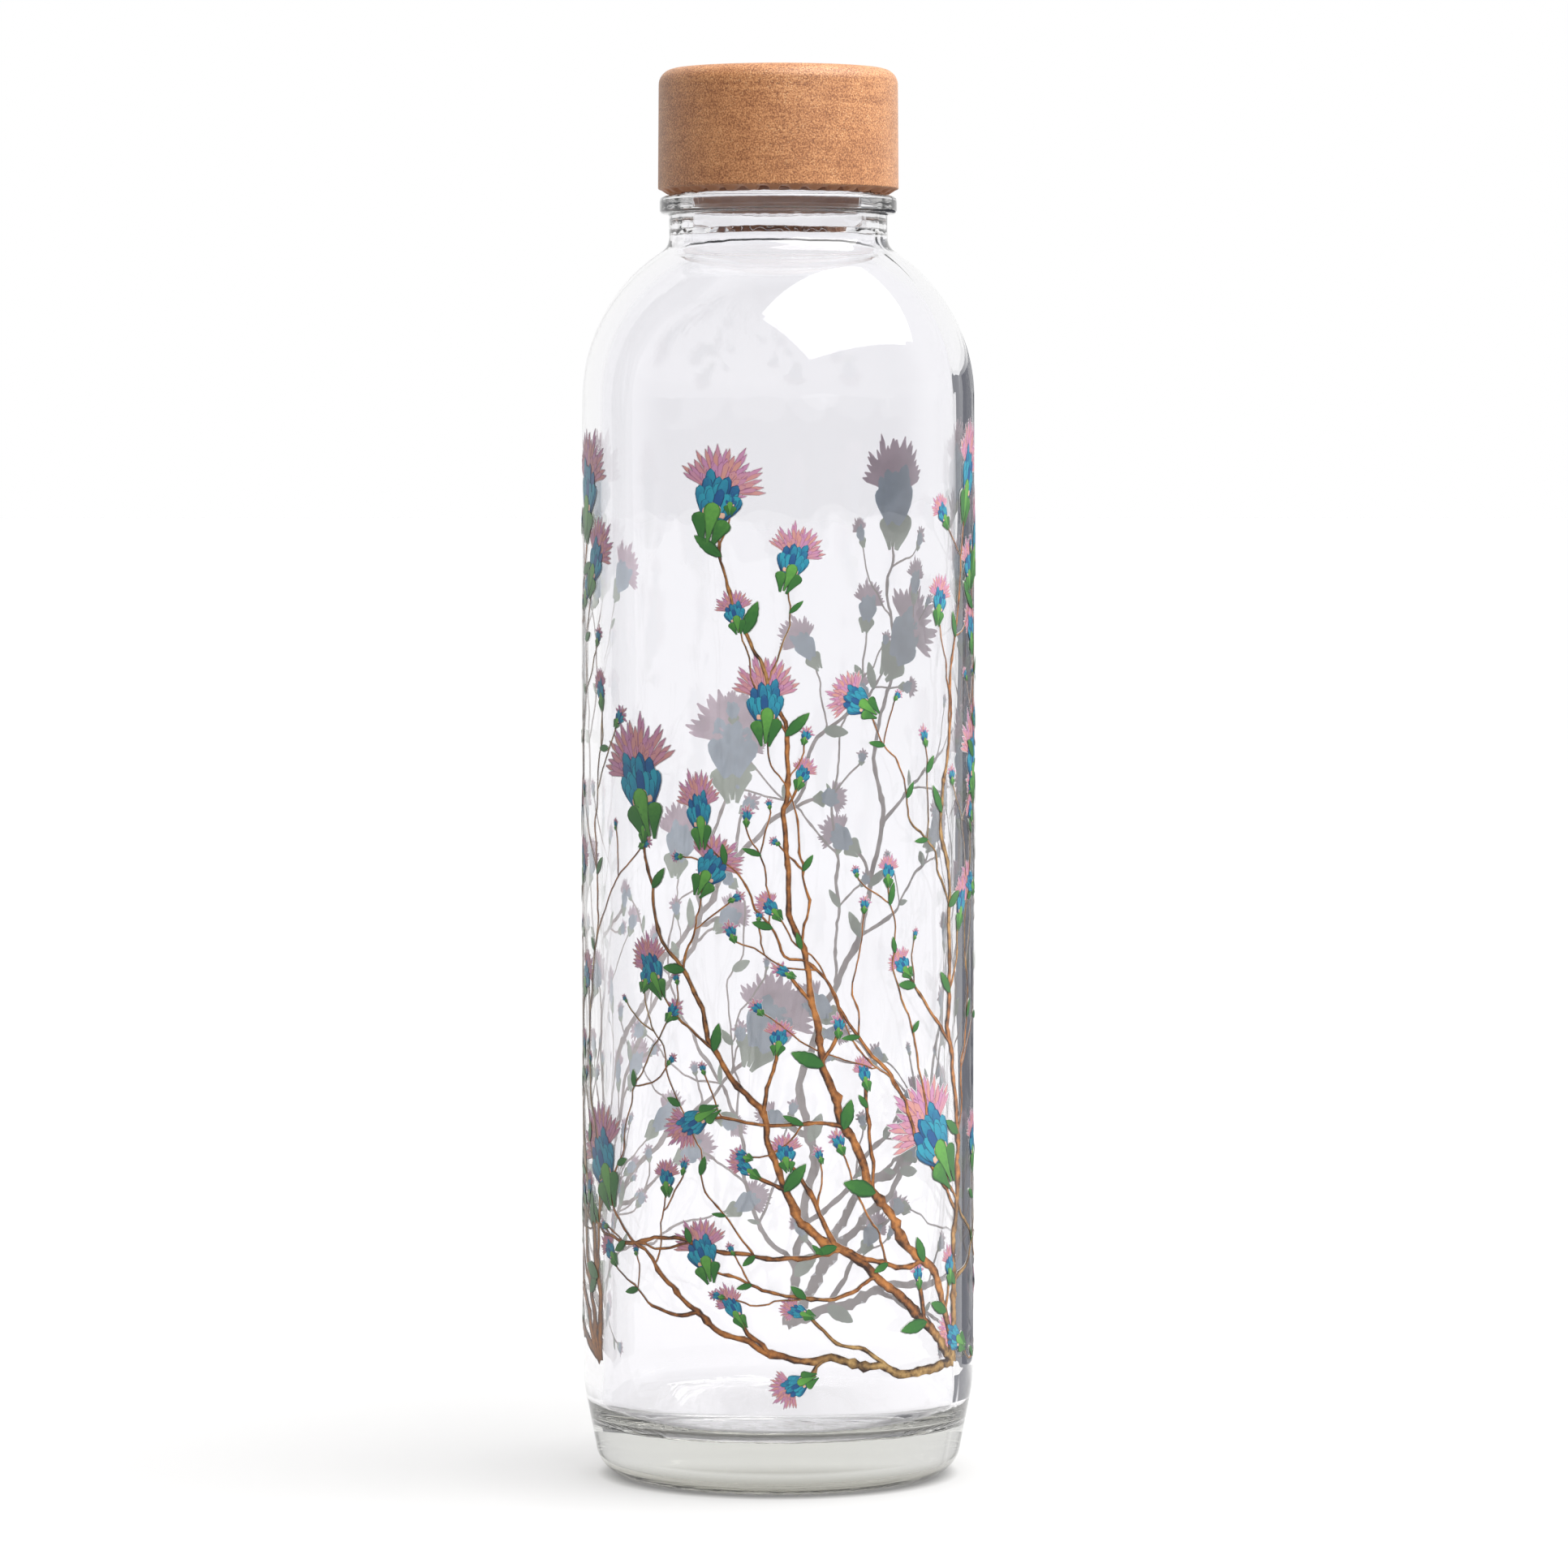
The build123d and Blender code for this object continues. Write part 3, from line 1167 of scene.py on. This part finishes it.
def plant_inks() -> dict[str, FiredInk]:
    """The ink of each part of the print."""
    return {
        "twig": FiredInk(
            "ink_bark", (0.24, 0.088, 0.026), (0.52, 0.21, 0.056), (0.030, 0.011, 0.006), InkPattern.BARK
        ),
        "leaf": FiredInk(
            "ink_leaf", (0.030, 0.15, 0.028), (0.14, 0.40, 0.07), (0.010, 0.062, 0.016), line_count=2
        ),
        "cup": FiredInk(
            "ink_blue", (0.014, 0.085, 0.25), (0.03, 0.32, 0.43), (0.005, 0.028, 0.095), line_count=2
        ),
        "fringe": FiredInk(
            "ink_pink", (0.62, 0.30, 0.25), (0.54, 0.26, 0.43), (0.28, 0.09, 0.18), line_count=1
        ),
        "eye": FiredInk(
            "ink_peach", (0.75, 0.45, 0.33), (0.88, 0.62, 0.46), (0.45, 0.20, 0.16), line_count=1
        ),
    }


@dataclass
class PrintedPlants:
    """The fired print: brown twigs, green leaves, blue buds with pink fringes, and their undercoat."""

    azimuths: tuple[float, ...] = (62.0, 178.0, 296.0)
    stems: tuple[Point, ...] = ((-0.02, 158), (-0.42, 165), (-0.85, 125), (-1.3, 88))
    low: float = 21.0 * MM
    high: float = 184.0 * MM
    plate: float = 0.007 * MM
    halo: float = 0.07 * MM
    gap: float = 0.02 * MM
    undercoats: dict[str, Colour] = field(
        default_factory=lambda: {
            "twig": (0.54, 0.48, 0.46),
            "leaf": (0.50, 0.56, 0.47),
            "cup": (0.50, 0.58, 0.65),
            "fringe": (0.72, 0.60, 0.66),
        }
    )
    levels: dict[str, tuple[int | None, int]] = field(
        default_factory=lambda: {
            "cup": (0, 22), "leaf": (2, 32), "twig": (5, 20), "fringe": (7, 10), "eye": (None, 31)
        }
    )
    inks: dict[str, FiredInk] = field(default_factory=plant_inks)

    def __post_init__(self) -> None:
        """Reads the glass's radius from the frame."""
        self.radius = body_grip()["dims"]["r_mm"] * MM

    def blade(
        self, width: float, shape: Callable[[float], float], margin: float, cuts: tuple[int, int]
    ) -> bpy.types.Object:
        """Models one thin blade 1 long, such as a petal, that starts at the origin and points along +Y.

        Args:
            width: Its greatest width.
            shape: Share of its greatest width at a share of its length.
            margin: How far it is widened all round.
            cuts: How many parts it has across and along.

        Returns:
            The blade.
        """
        deselect_all()
        columns, rows = cuts
        bpy.ops.mesh.primitive_grid_add(
            x_subdivisions=columns, y_subdivisions=rows, size=1, location=(0, 0, 0)
        )
        blade = bpy.context.object
        bpy.ops.object.mode_set(mode="EDIT")
        mesh = bmesh.from_edit_mesh(blade.data)
        for row in reversed(range(rows + 1)):
            height = row / rows - 0.5
            along = 1 - (1 - row / rows) ** 1.6
            for vertex in mesh.verts:
                vertex.select_set(abs(vertex.co.y - height) < 0.25 / rows)
            mesh.select_flush_mode()
            full = max(shape(along) * width + 2 * margin, 0.05 * width)
            bpy.ops.transform.resize(value=(full, 1, 1), center_override=(0, 0, 0))
            bpy.ops.transform.translate(value=(0, along - row / rows, 0))
        bpy.ops.mesh.select_all(action="SELECT")
        bpy.ops.transform.resize(value=(1, 1 + 2 * margin, 1), center_override=(0, 0, 0))
        bpy.ops.transform.translate(value=(0, 0.5, 0))
        bpy.ops.mesh.extrude_region_move(TRANSFORM_OT_translate={"value": (0, 0, self.plate)})
        bpy.ops.mesh.select_all(action="SELECT")
        bpy.ops.mesh.normals_make_consistent(inside=False)
        bpy.ops.object.mode_set(mode="OBJECT")
        return blade

    def fan(
        self,
        blade: bpy.types.Object,
        count: int,
        spread: float,
        base: Point,
        length: float,
        level: float,
        lift: float,
    ) -> list[bpy.types.Object]:
        """Copies a blade into a fan of uneven blades.

        Args:
            blade: The blade.
            count: How many blades the fan has.
            spread: Angle in radians from the first to the last.
            base: Where the middle one starts.
            length: Length of the middle one.
            level: Height of the fan over the glass side of the print.
            lift: How far its blades are staggered in height.

        Returns:
            The blades.
        """
        chance = random.Random(count)
        blades = []
        for i in range(count):
            share = i / max(count - 1, 1) - 0.5
            copy = blade.copy()
            copy.data = blade.data.copy()
            bpy.context.collection.objects.link(copy)
            tone = copy.data.attributes.new("tone", "FLOAT", "POINT")
            tone.data.foreach_set("value", [chance.random()] * len(copy.data.vertices))
            size = length * (1 - 0.5 * abs(share)) * chance.uniform(0.82, 1.12)
            order = ((i * 2) % count) / count
            lean = -share * spread + chance.uniform(-0.07, 0.07)
            foot = (base[0] + share * 0.2, base[1] - 0.3 * share**2, level + order * lift * 2)
            place = Matrix.Translation(foot)
            copy.matrix_world = place @ Matrix.Rotation(lean, 4, "Z") @ Matrix.Diagonal((1, size, 1, 1))
            blades.append(copy)
        bpy.data.objects.remove(blade)
        return blades

    def blossom(self, part: str, detail: int, margin: float) -> bpy.types.Object:
        """Models one part of a blossom whose cup is 1 long, at the origin, pointing along +Y.

        Args:
            part: "cup", "fringe", "eye" or "leaf", which is a leaf or the green foot of a blossom.
            detail: 1 for a bud, 2 for a blossom and 3 for a leaf.
            margin: How far its blades are widened all round.

        Returns:
            The part as one object.
        """

        def tongue(t: float) -> float:
            """Width of a petal of the cup at a share of its length."""
            tip = math.sqrt(max(0.0, 1 - max(0.0, (t - 0.72) / 0.28) ** 2))
            return (0.35 + 0.65 * min(1.0, t / 0.6)) * tip

        def strand(t: float) -> float:
            """Width of a strand of the fringe at a share of its length."""
            tip = math.sqrt(max(0.0, 1 - max(0.0, (t - 0.86) / 0.14) ** 2))
            return (0.75 + 0.25 * math.cos(t * 9)) * tip

        def leaf(t: float) -> float:
            """Width of a leaf at a share of its length."""
            return max(0.0, math.sin(math.pi * min(1.0, t**0.85))) ** 0.75 * (1 + 0.05 * math.cos(t * 38))

        def foot(t: float) -> float:
            """Width of a blossom's green foot at a share of its length."""
            tip = math.sqrt(max(0.0, 1 - max(0.0, (t - 0.8) / 0.2) ** 2))
            return (0.16 + 0.84 * min(1.0, t / 0.75) ** 1.3) * tip

        lift = 0.0 if margin else self.plate
        if part == "leaf" and detail == 3:
            fans = [(0.40, leaf, (4, 12), 1, 0, (0.1, 0), 1.3)]
        elif part == "leaf":
            fans = [(0.38, foot, (3, 7), 3, 0.5, (0, 0), 1.0)]
        elif part == "eye":
            fans = [(0.13, leaf, (2, 5), 4, 1.3, (0, 0.14), 0.20)]
        elif part == "cup":
            cuts = (2, 1 + 2 * detail)
            fans = [
                (0.21, tongue, cuts, 3 + 2 * detail, 0.85, (0, 0.0), 1.0),
                (0.21 - 0.02, tongue, cuts, 2 + 2 * detail, 0.68, (0, 0.0), 0.84),
                (0.21 - 0.02 * 2, tongue, cuts, 1 + 2 * detail, 0.5, (0, 0.02), 0.62),
            ]
        else:
            wide = 2.1 - 0.5 * detail
            fans = [
                (0.085 * wide, strand, (1, 3), 12 * detail - 6, 2.6, (0, 0.62), 0.88),
                (0.10 * wide, strand, (1, 3), 12 * detail - 7, 2.1, (0, 0.60), 0.70),
                (0.12 * wide, strand, (1, 3), 9 * detail - 5, 1.6, (0, 0.58), 0.54),
            ]
        blades: list[bpy.types.Object] = []
        for row, (width, shape, cuts, count, spread, base, length) in enumerate(fans):
            form = self.blade(width, shape, margin, cuts)
            blades += self.fan(form, count, spread, base, length, row * 2.5 * lift, lift)
        return join(blades, f"{part}_form")

    def place_marks(self, marks: list[Mark], part: str, margin: float, level: float) -> bpy.types.Object:
        """Copies one part of the blossoms, or the leaves, to all its places.

        Args:
            marks: Where the leaves and blossoms sit.
            part: "cup", "fringe" or "leaf".
            margin: Widening in metres, 0 for the ink and the halo for its undercoat.
            level: Height over the nominal glass.

        Returns:
            All of them as one flat piece.
        """
        copies = []
        kinds = {"bud": (1, 2.2 * MM), "blossom": (2, 5.5 * MM), "leaf": (3, 3.6 * MM)}
        forms = {kind: self.blossom(part, detail, margin / size) for kind, (detail, size) in kinds.items()}
        for number, mark in enumerate(marks):
            if mark.kind == "leaf" and part != "leaf":
                continue
            foot = part == "leaf" and mark.kind != "leaf"
            form = forms[mark.kind]
            copy = form.copy()
            copy.data = form.data.copy()
            bpy.context.collection.objects.link(copy)
            size = mark.size * (0.78 if foot else 1.9 if mark.kind == "leaf" else 1.0)
            back = -0.46 * mark.size if foot else 0.0
            x = mark.place.x + math.sin(mark.heading) * back
            y = mark.place.y + math.cos(mark.heading) * back
            place = Matrix.Translation((x, y, level + (number % 4) * self.plate / 4))
            wide = size * (0.8 + 0.4 * ((number * 7) % 5) / 4) * (1 if number % 2 else -1)
            turn = Matrix.Rotation(-mark.heading, 4, "Z")
            copy.matrix_world = place @ turn @ Matrix.Diagonal((wide, size, 1, 1))
            copies.append(copy)
        for form in forms.values():
            bpy.data.objects.remove(form)
        return join(copies, f"print_{part}")

    def twigs(self, shoots: list[Shoot], margin: float, level: float) -> bpy.types.Object:
        """Models all twigs as flat crowned ribbons.

        Args:
            shoots: The grown shoots.
            margin: Widening in metres.
            level: Height over the nominal glass.

        Returns:
            The twigs as one flat piece.
        """
        curve = bpy.data.curves.new("twigs", "CURVE")
        curve.dimensions = "3D"
        curve.bevel_depth = 1.0
        curve.bevel_resolution = 0
        curve.use_fill_caps = True
        for shoot in shoots:
            spline = curve.splines.new("POLY")
            spline.points.add(len(shoot.path) - 1)
            for point, place, width in zip(spline.points, shoot.path, shoot.widths):
                point.co = (place.x, place.y, 0, 1)
                point.radius = width + margin
        piece = bpy.data.objects.new("print_twig", curve)
        bpy.context.collection.objects.link(piece)
        pick([piece])
        bpy.ops.object.convert(target="MESH")
        piece = bpy.context.object
        rings = coordinates(piece).reshape(-1, 4, 3)
        raised = np.abs(rings[:, :, 2]) > 0.02 * MM
        right = rings[:, :, 0] > rings[:, :, :1].mean(axis=1)
        mask = piece.data.attributes.new("crown", "FLOAT", "POINT")
        mask.data.foreach_set("value", np.where(raised, 1.0, np.where(right, 0.5, 0.0)).ravel())
        rings[:, :, 2] = np.where(raised, np.sign(rings[:, :, 2]), 0) * self.plate + level
        set_coordinates(piece, rings.reshape(-1, 3))
        return piece

    def wrap(self, piece: bpy.types.Object) -> None:
        """Bends a flat piece round the glass.

        Args:
            piece: A piece whose x runs round the glass, y up it and z out of it.
        """
        u, v, level = coordinates(piece).T
        angle = u / self.radius
        r = self.radius + level
        set_coordinates(piece, np.column_stack([r * np.sin(angle), -r * np.cos(angle), v]))

    def face_sides(self, piece: bpy.types.Object) -> None:
        """Gives the faces towards the glass the second material slot."""
        for polygon in piece.data.polygons:
            outward = Vector((polygon.center.x, polygon.center.y, 0))
            polygon.material_index = 1 if polygon.normal.dot(outward) < 0 else 0

    def build(self) -> list[bpy.types.Object]:
        """Grows the plants and prints them.

        Returns:
            The pieces of the print.
        """
        grower = PlantGrower(FULL_TURN * self.radius, self.low, self.high)
        for family, azimuth in enumerate(self.azimuths):
            root = Vector((math.radians(azimuth) * self.radius, self.low + 1.5 * MM))
            for lean, length in self.stems:
                jitter = grower.chance.uniform(-0.05, 0.05)
                grower.grow(root, lean + jitter, length * MM, 0.95 * MM, 0, -1 - family)
        white = InkUndercoat("undercoat_white", (0.93, 0.93, 0.92)).material()
        pieces = []
        for part, heights in self.levels.items():
            for under, height in zip((True, False), heights):
                if height is None:
                    continue
                margin = self.halo if under else 0.0
                level = self.gap + height * self.plate
                if part == "twig":
                    piece = self.twigs(grower.shoots, margin, level)
                else:
                    piece = self.place_marks(grower.marks, part, margin, level)
                piece.name = f"print_{part}_{'undercoat' if under else 'ink'}"
                piece.data.name = piece.name
                self.wrap(piece)
                tidy_faces(piece)
                if under:
                    seen_through = InkUndercoat(f"undercoat_{part}", self.undercoats[part]).material()
                    dress(piece, "bottle", white, seen_through)
                    self.face_sides(piece)
                else:
                    dress(piece, "bottle", self.inks[part].material())
                pieces.append(piece)
        return pieces


def tidy_faces(piece: bpy.types.Object) -> None:
    """Turns the faces of a wrapped piece outwards and shades them smooth.

    Args:
        piece: The wrapped piece.
    """
    pick([piece])
    bpy.ops.object.mode_set(mode="EDIT")
    bpy.ops.mesh.select_all(action="SELECT")
    bpy.ops.mesh.normals_make_consistent(inside=False)
    bpy.ops.object.mode_set(mode="OBJECT")
    smooth(piece, 30)


# ---------------------------------------------------------------------------------------------- studio


@dataclass
class Studio:
    """The pale floor, soft lights, world and camera."""

    eye: tuple[float, float, float] = (0.00103, -1.15, 0.1785)
    aim: tuple[float, float, float] = (0.00103, 0.0, 0.1253)
    lens: float = 145.9
    sensor: float = 36.0
    key_place: tuple[float, float, float] = (0.55, -0.34, 1.10)
    key_size: tuple[float, float] = (1.60, 0.98)
    key_power: float = 23.0
    floor_half: float = 40.0
    # Painted shadow: share of the floor's colour and glow by distance from the axis in decimetres, darkest in
    # a ring round the bottle's foot.
    floor_painted_shadow: tuple[Point, ...] = ((0, 1), (0.17, 1), (0.23, 0.35), (0.29, 0.4), (0.33, 0.92), (0.6, 1))
    card_bearings: tuple[float, float] = (15.0, 52.0)
    card_distance: float = 0.17
    card_height: float = 0.215
    card_colour: Colour = (0.17, 0.175, 0.20)
    room_light: tuple[tuple[float, Colour], ...] = (
        (0.00, (0.17, 0.17, 0.19)),
        (0.42, (0.22, 0.22, 0.25)),
        (0.60, (0.95, 0.95, 0.97)),
        (1.00, (1.0, 1.0, 1.0)),
    )
    shade_colour: Colour = (0.11, 0.107, 0.107)
    sky_colour: Colour = (1.8, 1.8, 1.8)

    def camera(self) -> None:
        """Makes the camera."""
        data = bpy.data.cameras.new("camera")
        data.lens = self.lens
        data.sensor_width = self.sensor
        data.clip_start = 0.01
        data.clip_end = 200
        camera = bpy.data.objects.new("camera", data)
        bpy.context.scene.collection.objects.link(camera)
        camera.location = self.eye
        camera.rotation_euler = (Vector(self.aim) - Vector(self.eye)).to_track_quat("-Z", "Y").to_euler()
        bpy.context.scene.camera = camera

    def floor(self) -> None:
        """Makes the pale floor, with a painted shadow round the bottle's foot that darkens both its colour
        and its glow.
        """
        deselect_all()
        bpy.ops.mesh.primitive_plane_add(size=2 * self.floor_half, location=(0, 0, 0))
        floor = bpy.context.object
        floor.name = "studio_floor"
        material = bpy.data.materials.new("studio_floor")
        graph = Graph(material)
        x, y, _ = graph.split(graph.coordinates())
        distance = (x * x + y * y) ** 0.5
        # Painted shadow under and round the bottle's foot.
        painted_shadow = graph.ramp(distance * 10, [(stop, (share,) * 3) for stop, share in self.floor_painted_shadow])
        scattered = graph.node("ShaderNodeLightPath", output="Is Diffuse Ray")
        seen = painted_shadow * (1.0 - scattered * 0.6)
        glow = seen * (distance.step(0.1, 0.9) * 0.12 + distance.step(0.9, 2.0) * 0.13 + 0.24)
        pale = graph.node("ShaderNodeCombineColor", values={0: seen * 0.42, 1: seen * 0.42, 2: seen * 0.422})
        matt = graph.node("ShaderNodeBsdfDiffuse", values={"Color": pale})
        lit = graph.node("ShaderNodeEmission", values={"Color": (1, 1, 1, 1), "Strength": glow})
        graph.surface(graph.node("ShaderNodeAddShader", values={0: matt, 1: lit}))
        floor.data.materials.append(material)

    def dark_card(self) -> None:
        """Stands a dark card behind the object at the right, which only the glass sees."""
        start, end = (math.radians(90 - bearing) for bearing in self.card_bearings)
        deselect_all()
        bpy.ops.mesh.primitive_plane_add(size=MM, location=(0, 0, 0))
        card = bpy.context.object
        card.name = "studio_card"
        bpy.ops.object.mode_set(mode="EDIT")
        bpy.ops.mesh.merge(type="CENTER")
        first = self.card_distance * Vector((math.cos(start), math.sin(start), 0))
        last = self.card_distance * Vector((math.cos(end), math.sin(end), 0))
        bpy.ops.transform.translate(value=first)
        bpy.ops.mesh.extrude_region_move(TRANSFORM_OT_translate={"value": last - first})
        bpy.ops.mesh.select_all(action="SELECT")
        bpy.ops.mesh.extrude_region_move(TRANSFORM_OT_translate={"value": (0, 0, self.card_height)})
        bpy.ops.object.mode_set(mode="OBJECT")
        material = bpy.data.materials.new("studio_card")
        graph = Graph(material)
        dark = graph.node("ShaderNodeEmission", values={"Color": (*self.card_colour, 1.0)})
        clear = graph.node("ShaderNodeBsdfTransparent")
        mirrored = graph.node("ShaderNodeLightPath", output="Glossy Depth") > 0.5
        graph.surface(graph.node("ShaderNodeMixShader", values={0: mirrored, 1: clear, 2: dark}))
        card.data.materials.append(material)
        card.visible_camera = card.visible_diffuse = card.visible_shadow = False

    def key_light(self) -> None:
        """Makes the large soft light at the upper right."""
        data = bpy.data.lights.new("key", "AREA")
        data.shape = "RECTANGLE"
        data.size, data.size_y = self.key_size
        data.energy = self.key_power
        data.color = (1.0, 0.985, 0.96)
        light = bpy.data.objects.new("key", data)
        bpy.context.scene.collection.objects.link(light)
        light.location = self.key_place
        top = Vector((0, 0, 0.2))
        light.rotation_euler = (top - Vector(self.key_place)).to_track_quat("-Z", "Y").to_euler()
        light.visible_camera = False

    def world(self) -> None:
        """A white backdrop, a dim room in front of it, and soft light from above."""
        world = bpy.data.worlds.new("studio")
        bpy.context.scene.world = world
        graph = Graph(world)
        x, y, z = graph.split(graph.node("ShaderNodeTexCoord", output="Generated"))
        room = graph.ramp(y * 0.5 + 0.5, self.room_light)
        above = graph.mix((z + x * 0.45).step(0.15, 0.95), self.shade_colour, self.sky_colour)
        seen = graph.node("ShaderNodeLightPath", output="Is Camera Ray")
        scattered = graph.node("ShaderNodeLightPath", output="Is Diffuse Ray")
        colour = graph.mix(seen, room, (1.0, 1.0, 1.0))
        colour = graph.mix(scattered, colour, above)
        light = graph.node("ShaderNodeBackground", values={"Color": colour, "Strength": 1.0})
        graph.node("ShaderNodeOutputWorld", values={"Surface": light})

    def build(self) -> None:
        """Builds the studio and sets how light is carried through the glass."""
        self.camera()
        self.floor()
        self.dark_card()
        self.key_light()
        self.world()
        scene = bpy.context.scene
        scene.view_settings.view_transform = "Standard"
        scene.view_settings.look = "None"
        scene.cycles.max_bounces = 24
        scene.cycles.transmission_bounces = 20
        scene.cycles.glossy_bounces = 12
        scene.cycles.transparent_max_bounces = 24


def main() -> None:
    """Builds the studio and the object in order."""
    Studio().build()
    GlassBottle().build()
    ScrewCap().build()
    PrintedPlants().build()


if __name__ == "__main__":
    main()
